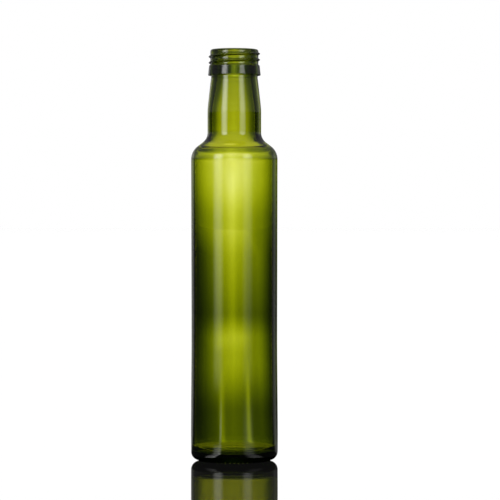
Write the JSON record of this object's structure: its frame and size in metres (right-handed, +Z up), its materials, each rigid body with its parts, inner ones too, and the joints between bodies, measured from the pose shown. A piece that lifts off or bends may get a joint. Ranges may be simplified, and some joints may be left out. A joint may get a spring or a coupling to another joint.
{
  "type": "empty glass oil bottle",
  "caption": "Tall round bottle of clear olive-green glass with a straight neck, rounded shoulder, screw thread and retaining ring, empty and open.",
  "frame": {"origin": "the middle of the foot, on the surface that the bottle stands on", "axes": "+Z up along the bottle's axis, towards its mouth; +X to the right and +Y away as the picture shows it"},
  "size_m": [0.0484, 0.0484, 0.229],
  "materials": {
    "glass": "smooth, glossy, transparent olive-green glass"
  },
  "bodies": {
    "root": {"bottle": "glass"}
  },
  "joints": []
}
